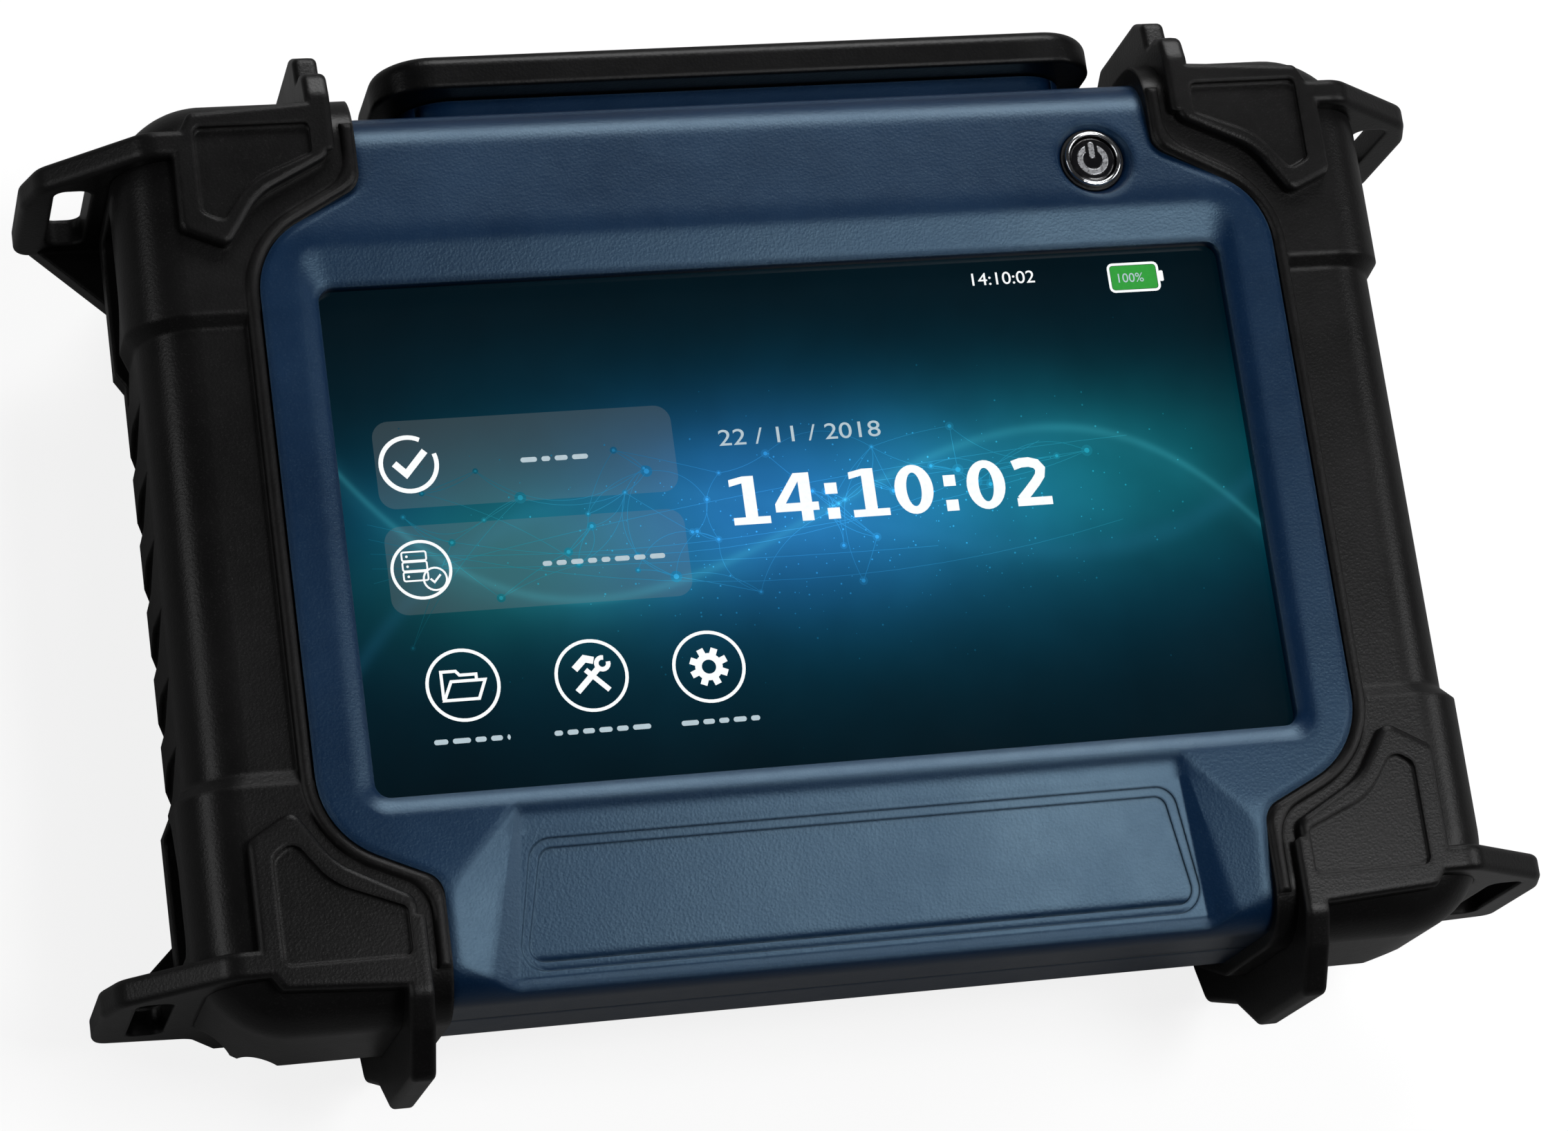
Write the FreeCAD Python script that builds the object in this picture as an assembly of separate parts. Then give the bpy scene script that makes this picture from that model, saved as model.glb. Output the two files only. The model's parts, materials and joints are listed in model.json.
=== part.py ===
"""Handheld network cable tester: a rugged touch-screen unit lying on its back.

Row frame, in millimetres: +Z is the screen's outward normal, +Y points to the unit's top edge,
where the test ports are, and +X to its right. The origin is the centre of the footprint,
in the plane of the four rear bumper pads.
"""

import math
import os

import FreeCAD
import Part

V = FreeCAD.Vector

# ---- driving dimensions -------------------------------------------------------------------

RIM_Z = 58.0  # rim of the screen opening
CREST_Z = 59.2  # crest of the frame around the screen
PART_Z = 40.0  # parting plane between the front and back covers
BACK_Z = 3.0  # rear face of the back cover
BODY_X = 103.0  # half width of the covers under the rubber
BODY_TOP = 75.5
BODY_BOTTOM = -76.5
BODY_FRONT = 56.6  # front of the covers under the rubber
BODY_ROUND = 8.0
BREAK_Z = 27.0  # below this the sides and ends draw in towards the rear face
REAR_INSET = 8.0
WALL = 2.6

WINDOW = (156.0, 86.4)  # screen opening
WINDOW_ROUND = 2.6

GRIP_X = 109.2  # half width over the rubber near the corners
GRIP_Y = 78.8  # half height over the rubber
GRIP_FRONT = 58.8
GRIP_ROUND = 10.0
REAR_ROUND = 6.0
GRIP_CORNER = 16.0
REAR_CORNER = 0.4  # share of the rear inset that each corner's radius loses towards the rear face
WAIST_X = 107.6  # half width over the rubber at the middle
WAIST_FRONT = 57.3
WAIST_END = 37.4  # the waist runs from -WAIST_END to WAIST_END
WAIST_SLOPE = 3.2
SCALLOP_PITCH = 11.6
SCALLOP_DEPTH = 1.3
FLUTE_R = 4.6
FLUTE_DEPTH = 1.5
FLUTE_TURNS = (46.0, 74.0)  # degrees round each corner, from the side

SCOOP_TOP = (-47.6, 58.4)  # y and z where the recess below the screen starts
SCOOP_LOW = (-90.0, 51.6)  # y and z of its floor carried past the bottom edge
CASE_SCREWS = [(x, y) for x in (-89.0, 89.0) for y in (-22.0, 22.0)]
CASE_SCREWS += [(-62.0, -60.0), (62.0, -60.0)]
SCREW_R = 1.5

PANEL_Z = 61.2  # front face of the corner bumpers
POCKET_DEPTH = 1.1
PAD_X = 99.5  # outer edge of a bumper's front pad
FIN_X = (72.7, 76.9)
PAD_IN = 73.9  # inner edge of the pads, just inside the fin
FIN_Y = 88.0
TAB_Y = (66.4, 70.9)
TAB_X = 123.0
STRAP_HOLE_X = (111.6, 117.8)
STRAP_HOLE_Z = (22.5, 47.0)

GLASS_FRONT = RIM_Z - 2.2
GLASS_REAR = RIM_Z - 4.0
GASKET_REAR = RIM_Z - 4.8
PANEL_REAR = RIM_Z - 10.0
BRACKET_REAR = RIM_Z - 11.2
BRACKET_EARS = [(-80.0, 51.5), (80.0, 51.5), (-80.0, -51.5), (80.0, -51.5)]

BOARD_Z = (33.0, 34.6)
BOARD_SCREWS = [(-76.0, 48.0), (76.0, 48.0), (-76.0, -48.0), (76.0, -48.0)]

BUTTON = (58.4, 59.6)
BUTTON_Z = 57.0  # face of the power button
BUTTON_CAP_R = 4.05
BUTTON_TRAVEL = 0.8

BAY_X = 2.0  # centre of the port bay
LID_X = 64.2
LID_Y = (81.7, 88.0)
LID_Z = (16.0, 48.0)
NECK_X = 59.8
NECK_Z = (20.0, 42.4)
NECK_TOP = 81.4
HINGE_YZ = (80.4, 12.6)  # port cover hinge axis
HINGE_PIN_R = 1.2
LUG_W = 4.0
LID_KNUCKLES = [(BAY_X - 44.0, BAY_X - 34.0), (BAY_X + 34.0, BAY_X + 44.0)]

PORT_PANEL_Y = (74.6, 77.6)
PORT_Z = (NECK_Z[0] + NECK_Z[1]) / 2
RJ45_X = -38.0
SFP_XS = (-12.0, 8.0)
USB_X = 29.0
DC_X = 48.0
RJ45_BODY = (16.0, 13.6)  # width and height, as are the next two
SFP_BODY = (15.0, 10.2)
USB_BODY = (14.4, 7.2)
DC_BODY_R = 5.0

STAND_X = 46.0
STAND_FREE_Y = -3.0  # free edge of the folded stand
STAND_PIVOT = (51.0, 6.2)  # tilt stand hinge axis, y and z
STAND_THICK = 4.4
STAND_PIN_R = 1.5
STAND_KNUCKLE_W = 7.6
STAND_KNUCKLE_R = 2.2
STAND_ROOM = 5.0  # from the stand's crossbar to its hinge axis
EAR_REACH = 2.6  # from the hinge axis to the edge of the cover beside it

BATTERY_X = 41.0
BATTERY_Y = (-63.0, -21.0)
BATTERY_Z = (6.0, 24.0)
HATCH_X = 45.7
HATCH_Y = (-69.4, -14.4)
HATCH_THICK = 2.6
HATCH_SCREWS = [(-34.0, -66.4), (34.0, -66.4)]
GAP = 0.3  # clearance round a piece that slides or swings
RUN = 0.06  # radial clearance of a pin in its knuckle

FAR = 140.0  # beyond the unit in every direction


# ---- outlines and small helpers -----------------------------------------------------------


def place(plane, u, v, w):
    """A point from in-plane coordinates u, v and the distance w along the plane's normal."""
    if plane == "XY":
        return V(u, v, w)
    if plane == "XZ":
        return V(u, w, v)
    return V(w, u, v)  # "YZ"


def outline(points, plane="XY", at=0.0):
    """A closed wire through (u, v) or (u, v, radius) points, each corner rounded to its radius."""
    corners = [(p[0], p[1], p[2] if len(p) > 2 else 0.0) for p in points]
    count = len(corners)
    spans = []
    for i, (u, v, radius) in enumerate(corners):
        here = V(u, v, 0)
        before = V(corners[i - 1][0], corners[i - 1][1], 0) - here
        after = V(corners[(i + 1) % count][0], corners[(i + 1) % count][1], 0) - here
        if radius <= 0:
            spans.append((here, None, here))
            continue
        half = before.getAngle(after) / 2
        before.normalize()
        after.normalize()
        reach = radius / math.tan(half)
        middle = before + after
        middle.normalize()
        inner = here + middle * (radius / math.sin(half) - radius)
        spans.append((here + before * reach, inner, here + after * reach))
    edges = []
    for i, (start, inner, end) in enumerate(spans):
        a, m, b = (None if p is None else place(plane, p.x, p.y, at) for p in (start, inner, end))
        if m is not None:
            edges.append(Part.Arc(a, m, b).toShape())
        following = spans[(i + 1) % count][0]
        c = place(plane, following.x, following.y, at)
        if b.distanceToPoint(c) > 1e-6:
            edges.append(Part.LineSegment(b, c).toShape())
    return Part.Wire(edges)


def slab(points, low, high, plane="XY"):
    """The outline's area carried from low to high along the plane's normal."""
    face = Part.Face(outline(points, plane, low))
    normal = {"XY": V(0, 0, 1), "XZ": V(0, 1, 0), "YZ": V(1, 0, 0)}[plane]
    return face.extrude(normal * (high - low))


def rectangle(u0, v0, u1, v1, radius=0.0):
    return [(u0, v0, radius), (u1, v0, radius), (u1, v1, radius), (u0, v1, radius)]


def box(x, y, z):
    """A block from three (low, high) pairs."""
    return Part.makeBox(x[1] - x[0], y[1] - y[0], z[1] - z[0], V(x[0], y[0], z[0]))


def rod(radius, start, end):
    direction = V(*end) - V(*start)
    return Part.makeCylinder(radius, direction.Length, V(*start), direction)


def taper(lower, upper, low, high):
    """A straight loft between two XY outlines of the same corners."""
    return Part.makeLoft([outline(lower, "XY", low), outline(upper, "XY", high)], True, True)


def fuse(*shapes):
    whole = shapes[0].multiFuse(list(shapes[1:])) if len(shapes) > 1 else shapes[0]
    return whole.removeSplitter()


def mirror_x(shape):
    return shape.mirror(V(0, 0, 0), V(1, 0, 0))


def mirror_y(shape):
    return shape.mirror(V(0, 0, 0), V(0, 1, 0))


def edges_where(shape, test):
    """Edges whose every end and middle point passes the test."""
    found = []
    for edge in shape.Edges:
        middle = edge.valueAt((edge.FirstParameter + edge.LastParameter) / 2)
        if all(test(p) for p in [v.Point for v in edge.Vertexes] + [middle]):
            found.append(edge)
    return found


def rounded(shape, radius, test):
    return shape.makeFillet(radius, edges_where(shape, test))


def save(name, *shapes):
    """Writes one node, checking that each of its solids is closed and valid."""
    solids = [solid for shape in shapes for solid in shape.Solids]
    for solid in solids:
        if not solid.isValid() or solid.Volume <= 0:
            raise ValueError(f"{name}: a solid is not valid")
    compound = solids[0] if len(solids) == 1 else Part.makeCompound(solids)
    compound.exportStep(f"parts/{name}.step")
    volume = sum(solid.Volume for solid in solids) / 1000
    print(f"{name:26s} solids {len(solids):2d}  volume {volume:8.2f} cm3")


# ---- envelopes shared by several parts ----------------------------------------------------


def seam(grow=0.0):
    """Plan outline of the right-hand rubber: everything outboard of the seam with the covers.

    grow moves the seam outboard by that much.
    """
    inner, outer = 69.0 + grow, 87.5 + grow
    return [
        (inner, FAR),
        (inner, 60.6 + 0.6 * grow, 4.0 + grow),
        (outer, 50.4 + 0.6 * grow, 14.0 + grow),
        (outer, -48.5 - 0.6 * grow, 15.0 + grow),
        (inner, -57.2 - 0.6 * grow, 4.0 + grow),
        (inner, -FAR),
        (FAR, -FAR),
        (FAR, FAR),
    ]


def shell_solid(x, low_y, high_y, front, corner, front_round):
    """A filled block with a rolled front edge, whose rear part draws in towards the rear face."""
    inset = REAR_INSET
    full = rectangle(-x, low_y, x, high_y, corner)
    rear_corner = corner - inset * REAR_CORNER
    rear = rectangle(-x + inset, low_y + inset, x - inset, high_y - inset, rear_corner)
    block = slab(full, BREAK_Z, front)
    block = rounded(block, front_round, lambda p: p.z > front - 0.01)
    tail = taper(rear, full, BACK_Z, BREAK_Z)
    tail = rounded(tail, REAR_ROUND, lambda p: p.z < BACK_Z + 0.01)
    return fuse(block, tail)


def covers_solid():
    """The two covers together as one filled solid, without the raised centre."""
    return shell_solid(BODY_X, BODY_BOTTOM, BODY_TOP, BODY_FRONT, 12.0, BODY_ROUND)


def grip_section(y, half_width, front):
    """Right-hand cross-section of the rubber's outside at one station along Y."""
    points = [
        (80.0, BACK_Z),
        (half_width - REAR_INSET, BACK_Z, REAR_ROUND),
        (half_width, BREAK_Z),
        (half_width, front, GRIP_ROUND),
        (80.0, front),
    ]
    return outline(points, "XZ", y)


def grips_envelope():
    """The rubber's outside as one filled solid, with the waist in both sides."""
    block = shell_solid(GRIP_X, -GRIP_Y, GRIP_Y, GRIP_FRONT, GRIP_CORNER, GRIP_ROUND)
    full_end = WAIST_END + WAIST_SLOPE
    stations = [
        (-full_end, GRIP_X + 0.6, GRIP_FRONT + 0.6),
        (-WAIST_END, WAIST_X, WAIST_FRONT),
        (WAIST_END, WAIST_X, WAIST_FRONT),
        (full_end, GRIP_X + 0.6, GRIP_FRONT + 0.6),
    ]
    kept = Part.makeLoft([grip_section(*s) for s in stations], True, True)
    waist = box((80.5, FAR), (-full_end, full_end), (BACK_Z, FAR)).cut(kept)
    block = block.cut(waist).cut(mirror_x(waist))
    for flute in corner_flutes():
        for tool in (flute, mirror_y(flute)):
            block = block.cut(tool).cut(mirror_x(tool))
    return block


def corner_flutes():
    """Rods that cut shallow flutes into the drawn-in rear of the top right corner."""
    rear_corner = GRIP_CORNER - REAR_INSET * REAR_CORNER
    offset = FLUTE_R - FLUTE_DEPTH
    rods = []
    for turn in FLUTE_TURNS:
        out = V(math.cos(math.radians(turn)), math.sin(math.radians(turn)), 0)
        front = V(GRIP_X - GRIP_CORNER, GRIP_Y - GRIP_CORNER, BREAK_Z)
        front = front + out * (GRIP_CORNER + offset)
        rear = V(GRIP_X - REAR_INSET - rear_corner, GRIP_Y - REAR_INSET - rear_corner, BACK_Z)
        rear = rear + out * (rear_corner + offset)
        reach = (front - rear) * 0.4
        rods.append(rod(FLUTE_R, tuple(rear - reach), tuple(front + reach)))
    return rods


# ---- covers --------------------------------------------------------------------------------


def brow_profile():
    """Side profile of the covers' raised centre, from the bottom edge over the screen to the top."""
    top, bottom = BODY_TOP, BODY_BOTTOM
    return [
        (bottom, PART_Z),
        (bottom, 56.2, 7.0),
        (-58.0, CREST_Z, 40.0),
        (52.0, CREST_Z, 30.0),
        (top, 56.0, 8.5),
        (top, PART_Z),
    ]


def screen_frame(grow_side, grow_top):
    """Outline a given distance outside the screen opening."""
    w, h = WINDOW[0] / 2, WINDOW[1] / 2
    r = WINDOW_ROUND + grow_side * 0.6
    return rectangle(-w - grow_side, -h - grow_side, w + grow_side, h + grow_top, r)


def label_outline(grow):
    """Rounded trapezium of the label field below the screen."""
    return [
        (-56.4 - grow, -71.2 - grow, 2.6 + grow),
        (56.4 + grow, -71.2 - grow, 2.6 + grow),
        (52.6 + grow, -53.2 + grow, 2.2 + grow),
        (-52.6 - grow, -53.2 + grow, 2.2 + grow),
    ]


def above_scoop_floor(sink):
    """Everything over the scoop's sloping floor, sunk by the given depth."""
    (y0, z0), (y1, z1) = SCOOP_TOP, SCOOP_LOW
    return slab([(y0, z0 - sink), (y0, FAR), (y1, FAR), (y1, z1 - sink)], -FAR, FAR, "YZ")


def scoop_section(y, floor, knee, mouth_x):
    """Section of the recess at y: flat floor, a short steeper bank up to the knee, then a long one.

    floor and knee are (half width, z).
    """
    right = [floor, knee, (mouth_x, CREST_Z + 1.0)]
    left = [(-x, z) for x, z in reversed(right)]
    return outline(right + left, "XZ", y)


def scoop():
    """Recess below the screen that deepens and widens until it runs out at the bottom edge."""
    (y0, z0), (y1, z1) = SCOOP_TOP, SCOOP_LOW
    sections = [
        scoop_section(y0 + 2.6, (56.4, CREST_Z + 0.5), (56.8, CREST_Z + 0.6), 58.6),
        scoop_section(y0, (55.2, z0), (56.2, z0 + 0.5), 61.4),
        scoop_section(y1, (59.6, z1), (66.8, z1 + 2.6), 110.0),
    ]
    return Part.makeLoft(sections, True, True)


def front_cover(covers, neck):
    centre = slab(brow_profile(), -BODY_X, BODY_X, "YZ")
    right, left = slab(seam(), 0.0, FAR), mirror_x(slab(seam(), 0.0, FAR))
    centre = centre.cut(right).cut(left)
    base = covers.common(box((-FAR, FAR), (-FAR, FAR), (PART_Z, FAR)))
    outside = fuse(base, centre)
    neck_front = neck.common(box((-FAR, FAR), (-FAR, FAR), (PART_Z, FAR)))
    outside = fuse(outside, neck_front)
    dish = taper(screen_frame(0.0, 0.0), screen_frame(2.9, 7.0), RIM_Z, CREST_Z + 0.02)
    outside = outside.cut(dish).cut(scoop())
    step = slab(label_outline(1.5), 0.0, FAR).common(above_scoop_floor(0.3))
    field = slab(label_outline(0.0), 0.0, FAR).common(above_scoop_floor(0.6))
    hollow = cover_hollow(PART_Z - 1.0, BODY_FRONT - WALL)
    window = slab(screen_frame(0.0, 0.0), 0.0, FAR)
    shelf = box((-86.0, 86.0), (-47.0, 47.0), (PART_Z - 1.0, RIM_Z - 2.2))
    x, y = BUTTON
    dish_cone = Part.makeCone(5.6, 7.6, 3.4, V(x, y, BUTTON_Z - 0.9), V(0, 0, 1))
    button_hole = rod(5.6, (x, y, 0), (x, y, FAR))
    cover = outside.cut(hollow)
    for tool in (step, field, window, shelf, dish_cone, button_hole, neck_bore()):
        cover = cover.cut(tool)
    return fuse(cover, *[boss(x, y, PART_Z, BODY_FRONT - WALL + 0.5) for x, y in CASE_SCREWS])


def cover_hollow(low, high):
    """The room inside the covers between two heights."""
    inner = rectangle(-BODY_X + WALL, BODY_BOTTOM + WALL, BODY_X - WALL, BODY_TOP - WALL, 8.0)
    if low >= BREAK_Z:
        return slab(inner, low, high)
    draft = (BREAK_Z - low) * REAR_INSET / (BREAK_Z - BACK_Z)
    x, y0, y1 = BODY_X - WALL - draft, BODY_BOTTOM + WALL + draft, BODY_TOP - WALL - draft
    return fuse(slab(inner, BREAK_Z, high), taper(rectangle(-x, y0, x, y1, 6.0), inner, low, BREAK_Z))


def neck_solid():
    """The low collar on the top edge that carries the port cover."""
    plan = rectangle(BAY_X - NECK_X, NECK_Z[0], BAY_X + NECK_X, NECK_Z[1], 9.0)
    return slab(plan, BODY_TOP - 6.0, NECK_TOP, "XZ")


def neck_bore():
    x, inset = NECK_X - 2.2, 2.2
    plan = rectangle(BAY_X - x, NECK_Z[0] + inset, BAY_X + x, NECK_Z[1] - inset, 6.8)
    return slab(plan, BODY_TOP - WALL - 1.0, FAR, "XZ")


def boss(x, y, low, high):
    return rod(4.0, (x, y, low), (x, y, high)).cut(rod(SCREW_R, (x, y, low - 1), (x, y, low + 9)))


def back_cover(covers, neck):
    low = covers.common(box((-FAR, FAR), (-FAR, FAR), (-1.0, PART_Z)))
    low = fuse(low, neck.common(box((-FAR, FAR), (-FAR, FAR), (-1.0, PART_Z))))
    cover = low.cut(cover_hollow(BACK_Z + WALL + 5.2, PART_Z + 1.0)).cut(neck_bore())
    (y0, y1), z1 = BATTERY_Y, BATTERY_Z[1] + GAP
    bay_shell = box((-BATTERY_X - 3.0, BATTERY_X + 3.0), (y0 - 3.0, y1 + 3.0), (BACK_Z + 4.0, z1 + 2.4))
    bay = box((-BATTERY_X - GAP, BATTERY_X + GAP), (y0 - GAP, y1 + GAP), (-1.0, z1))
    blades = box((-16.0, 16.0), (y1, y1 + 10.0), (18.6, 21.4))
    hatch_seat = box((-HATCH_X - GAP, HATCH_X + GAP), (HATCH_Y[0] - GAP, HATCH_Y[1] + GAP),
                     (-1.0, BACK_Z + HATCH_THICK))
    cover = fuse(cover, bay_shell).cut(bay).cut(blades).cut(hatch_seat)
    for x, y in HATCH_SCREWS:
        cover = cover.cut(rod(1.25, (x, y, 0.0), (x, y, BACK_Z + HATCH_THICK + 4.0)))
    cover = cover.cut(stand_recess())
    for i in range(7):
        x = 52.0 + 4.0 * i
        vent = rectangle(x - 1.0, -30.0, x + 1.0, -10.0, 0.95)
        cover = cover.cut(slab(vent, -1.0, BACK_Z + WALL + 6.0))
    for x, y in CASE_SCREWS:
        cover = fuse(cover, rod(4.0, (x, y, BACK_Z + 2.0), (x, y, PART_Z)))
        cover = cover.cut(rod(SCREW_R + 0.2, (x, y, -1.0), (x, y, FAR)))
        cover = cover.cut(rod(3.0, (x, y, -1.0), (x, y, BACK_Z + 4.0)))
    return fuse(cover, *lid_lugs())


def case_seal():
    """Gasket cord between the covers, in the parting plane."""
    outer = rectangle(-BODY_X + 1.0, BODY_BOTTOM + 1.0, BODY_X - 1.0, BODY_TOP - 1.0, 9.0)
    inner = rectangle(-BODY_X + 2.0, BODY_BOTTOM + 2.0, BODY_X - 2.0, BODY_TOP - 2.0, 8.0)
    ring = slab(outer, PART_Z - 0.9, PART_Z + 0.9).cut(slab(inner, 0.0, FAR))
    return ring.cut(box((BAY_X - NECK_X, BAY_X + NECK_X), (BODY_TOP - 8.0, FAR), (0.0, FAR)))


# ---- rubber --------------------------------------------------------------------------------


def scallop(y):
    """Slanted leaf-shaped hollow in the right-hand side, its front tip at the given y."""
    leaf = [(y, 48.5), (y + 0.9, 33.0, 11.0), (y - 6.6, 18.0), (y - 5.6, 36.0, 11.0)]
    return slab(leaf, WAIST_X - SCALLOP_DEPTH, FAR, "YZ")


def side_hollow(near, far, blunt):
    """Long hollow in the right-hand side beside a corner, pointed at its near end unless blunt."""
    low, high = 31.0, 47.5
    front = (near, high - 4.0, 3.0) if blunt else (near + 0.1, low + 2.0)
    profile = [(near, low, 2.0) if blunt else (near, low), front, (near + (far - near) * 0.4, high, 8.0),
               (far, high, 3.0), (far, low, 2.0)]
    return slab(profile, GRIP_X - 4.0, FAR, "YZ")


def grip(envelope, blue):
    """Right-hand rubber overmould, wrapped round the side and both corners."""
    body = envelope.common(slab(seam(), -1.0, FAR))
    for i in range(6):
        body = body.cut(scallop(28.4 - SCALLOP_PITCH * i))
    body = body.cut(side_hollow(33.5, 63.0, False)).cut(side_hollow(-40.5, -63.5, True))
    top = GRIP_FRONT + 0.8
    bead = slab(seam(0.3), GRIP_FRONT - 4.0, top).cut(slab(seam(2.4), 0.0, FAR))
    bead = bead.common(box((0, FAR), (-71.5, 71.5), (0, FAR)))
    bead = rounded(bead, 0.9, lambda p: p.z > top - 0.01)
    return fuse(body, bead).cut(blue)


def pad_outline(top):
    """Plan outline of a right-hand bumper's front pad, without the fin and tab that leave it."""
    if top:
        return [(PAD_IN, 75.2), (PAD_IN, 65.0, 2.5), (86.2, 58.8, 12.0), (91.9, 50.2, 1.8),
                (PAD_X, 53.6, 1.8), (PAD_X, 70.2), (98.4, 70.2, 0.5), (96.4, 73.9, 1.5)]
    return [(PAD_IN, -74.4), (96.4, -73.1, 1.5), (98.4, -70.2, 0.5), (PAD_X, -70.2),
            (PAD_X, -49.0, 1.8), (91.8, -44.4, 1.8), (86.0, -53.4, 12.0), (PAD_IN, -60.0, 2.5)]


def pocket_outline(top):
    if top:
        return [(76.6, 71.2, 1.0), (76.6, 65.9, 1.0), (87.0, 61.6, 12.0), (92.3, 54.6, 1.4),
                (95.8, 56.4, 1.4), (95.8, 71.2, 1.2)]
    return [(75.4, -69.4, 1.2), (95.8, -69.4, 1.4), (95.8, -51.9, 2.2), (92.3, -49.4, 2.2),
            (87.0, -56.8, 12.0), (75.4, -61.6, 1.2)]


def rear_pad_outline():
    """Plan outline of a top right-hand bumper's rear pad."""
    return [(PAD_IN, 71.0), (PAD_IN, 61.6, 2.5), (84.0, 56.0, 10.0), (90.0, 49.0, 2.0), (98.0, 54.0, 3.0),
            (100.5, 62.0, 5.0), (100.5, 70.0, 8.0), (92.0, 71.0)]


def fin_profile(top):
    """Side profile of the fin that runs over the corner from the front pad to the rear pad."""
    if top:
        return [(66.2, 0.0), (66.2, PANEL_Z), (76.0, PANEL_Z, 4.0), (80.0, 60.0, 2.2),
                (81.4, 57.0, 1.8), (81.4, 53.4, 0.6), (86.0, 52.6, 1.4), (FIN_Y, 48.0, 1.6),
                (FIN_Y, 28.0, 2.2), (82.5, 19.0, 3.0), (79.0, 4.0, 3.0), (72.0, 0.0, 3.0)]
    return [(-63.0, 0.0), (-63.0, PANEL_Z), (-75.5, PANEL_Z, 4.0), (-81.0, 58.4, 3.0),
            (-FIN_Y, 53.0, 2.2), (-FIN_Y, 28.0, 2.2), (-82.5, 19.0, 3.0), (-79.0, 4.0, 3.0),
            (-72.0, 0.0, 3.0)]


def tab_plan():
    """Outline of the strap tab in X and Z, from the front pad out to the loop and back."""
    return [(92.0, 4.0), (92.0, PANEL_Z), (104.0, PANEL_Z, 6.0), (120.6, 47.4, 6.0),
            (TAB_X, 40.0, 6.0), (TAB_X, 18.0, 3.0), (107.0, 15.0, 3.0), (102.0, 4.0)]


def bumper(top, envelope, blue):
    """Right-hand corner bumper: front and rear pads joined by a fin and a strap tab."""
    sign = 1.0 if top else -1.0
    front = slab(pad_outline(top), GRIP_FRONT - GRIP_ROUND, PANEL_Z)
    front = rounded(front, 1.0, lambda p: p.z > PANEL_Z - 0.01)
    rear_plan = [(p[0], p[1] * sign, *p[2:]) for p in rear_pad_outline()]
    rear = slab(rear_plan, 0.0, BACK_Z + 6.0)
    rear = rounded(rear, 1.0, lambda p: p.z < 0.01)
    fin = slab(fin_profile(top), FIN_X[0], FIN_X[1], "YZ")
    fin = rounded(fin, 1.0, lambda p: p.x < FIN_X[0] + 0.01 or p.x > FIN_X[1] - 0.01)
    low, high = sorted((TAB_Y[0] * sign, TAB_Y[1] * sign))
    tab = slab(tab_plan(), low, high, "XZ")
    tab = rounded(tab, 1.1, lambda p: p.y < low + 0.01 or p.y > high - 0.01)
    hole = rectangle(STRAP_HOLE_X[0], STRAP_HOLE_Z[0], STRAP_HOLE_X[1], STRAP_HOLE_Z[1], 2.2)
    tab = tab.cut(slab(hole, low - 1.0, high + 1.0, "XZ"))
    web_plan = [(98.0, 68.6), (120.0, 68.6), (120.0, 67.4), (106.5, 54.5), (98.0, 54.5)]
    web = slab([(x, y * sign) for x, y in web_plan], 15.6, 19.4)
    whole = fuse(front, rear, fin, tab, web)
    whole = whole.cut(slab(pocket_outline(top), PANEL_Z - POCKET_DEPTH, FAR))
    return whole.cut(envelope).cut(blue)


# ---- screen --------------------------------------------------------------------------------


def touch_glass():
    return slab(rectangle(-82.5, -46.5, 82.5, 46.0, 2.0), GLASS_REAR, GLASS_FRONT)


def glass_gasket():
    outer = rectangle(-82.5, -46.5, 82.5, 46.0, 2.0)
    inner = rectangle(-79.5, -44.5, 79.5, 44.5, 2.0)
    return slab(outer, GASKET_REAR, GLASS_REAR).cut(slab(inner, 0.0, FAR))


def display_panel():
    return slab(rectangle(-82.3, -46.3, 82.3, 45.8, 1.0), PANEL_REAR, GASKET_REAR)


def display_bracket():
    """Pressed frame that carries the display, with four ears for its screws."""
    base = BRACKET_REAR
    plate = slab(rectangle(-84.5, -48.5, 84.5, 48.0, 2.0), base, base + 1.2)
    plate = plate.cut(slab(rectangle(-60.0, -30.0, 60.0, 30.0, 6.0), 0.0, FAR))
    rim = slab(rectangle(-84.5, -48.5, 84.5, 48.0, 2.0), base, RIM_Z - 6.0)
    rim = rim.cut(slab(rectangle(-83.3, -47.3, 83.3, 46.8, 1.0), 0.0, FAR))
    ears = []
    for x, y in BRACKET_EARS:
        ears.append(slab(rectangle(x - 5.0, y - 4.0, x + 5.0, y + 4.0, 2.0), base, base + 1.2))
    whole = fuse(plate, rim, *ears)
    for x, y in BRACKET_EARS:
        whole = whole.cut(rod(1.6, (x, y, 0.0), (x, y, FAR)))
    return whole


def screw(x, y, head_z, length, head_r, head_h, up=1.0):
    """A pan-head screw whose head rises from head_z and whose shank runs the other way."""
    head = rod(head_r, (x, y, head_z), (x, y, head_z + head_h * up))
    shank = rod(1.25, (x, y, head_z), (x, y, head_z - length * up))
    low, high = sorted((head_z + head_h * up * 0.4, head_z + head_h * up * 1.2))
    arm, half = head_r * 0.5, 0.4
    slot = slab(rectangle(x - arm, y - half, x + arm, y + half), low, high)
    cross = slab(rectangle(x - half, y - arm, x + half, y + arm), low, high)
    return fuse(head, shank).cut(slot).cut(cross)


# ---- boards --------------------------------------------------------------------------------


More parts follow.
